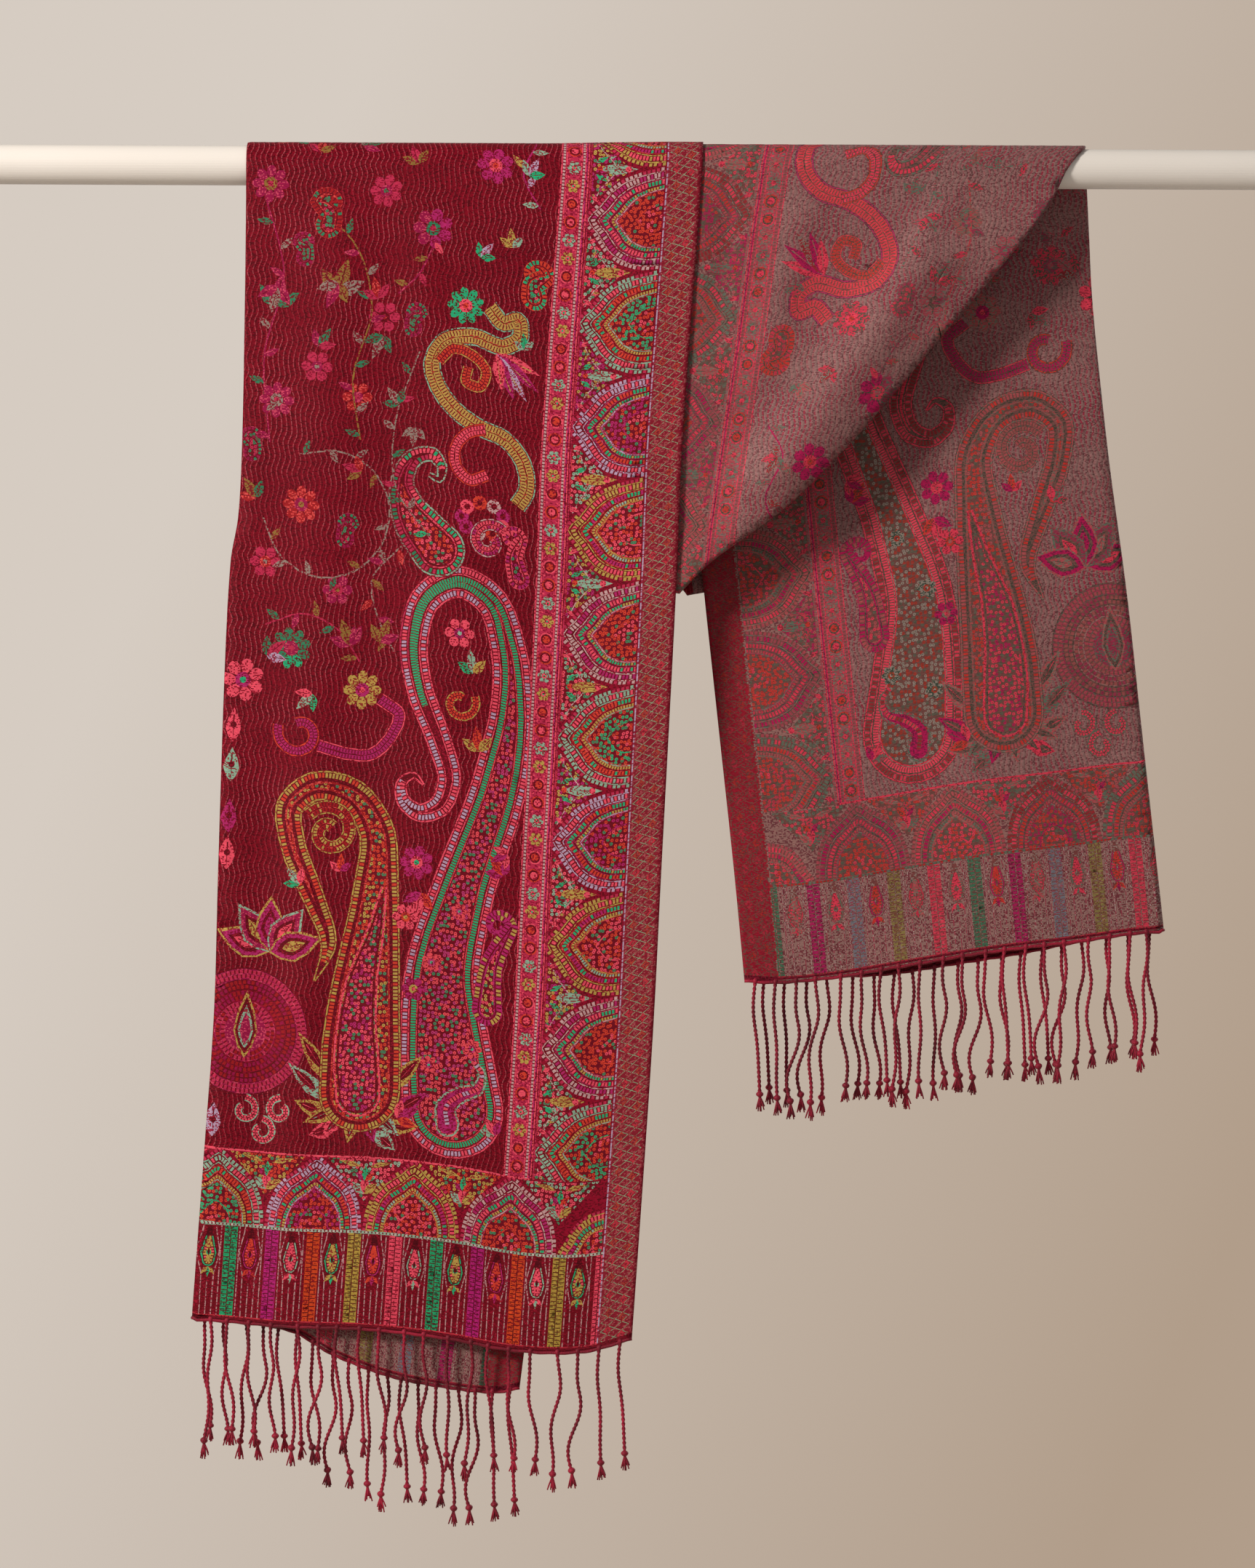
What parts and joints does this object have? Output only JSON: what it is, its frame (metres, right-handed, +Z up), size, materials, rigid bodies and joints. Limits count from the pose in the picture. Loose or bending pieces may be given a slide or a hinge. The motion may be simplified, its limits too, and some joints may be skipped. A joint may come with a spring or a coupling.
{
  "type": "silk shawl on a rod",
  "caption": "Silk jacquard shawl with a paisley pattern and a twisted fringe, folded lengthwise and hung over a round painted rod, one flap turned to show its reverse.",
  "frame": {"origin": "middle of the rod's axis, where a bracket or hand holds the rod", "axes": "+X along the rod to the right as seen from the front, -Y towards the front, +Z up"},
  "size_m": [1.05, 0.0524, 0.9787],
  "materials": {
    "rod_paint": "satin cream paint",
    "silk_right_side": "crimson silk jacquard, right side",
    "silk_reverse_side": "rose and sage silk jacquard, reverse side",
    "silk_fringe": "maroon twisted silk"
  },
  "bodies": {
    "root": {"rod": "rod_paint", "front_fall": "silk_right_side", "rear_flap": "silk_right_side", "turned_flap": "silk_reverse_side", "back_fall": "silk_reverse_side", "fringe_front_outer": "silk_fringe", "fringe_front_inner": "silk_fringe", "fringe_back_outer": "silk_fringe", "fringe_back_inner": "silk_fringe"}
  },
  "joints": []
}
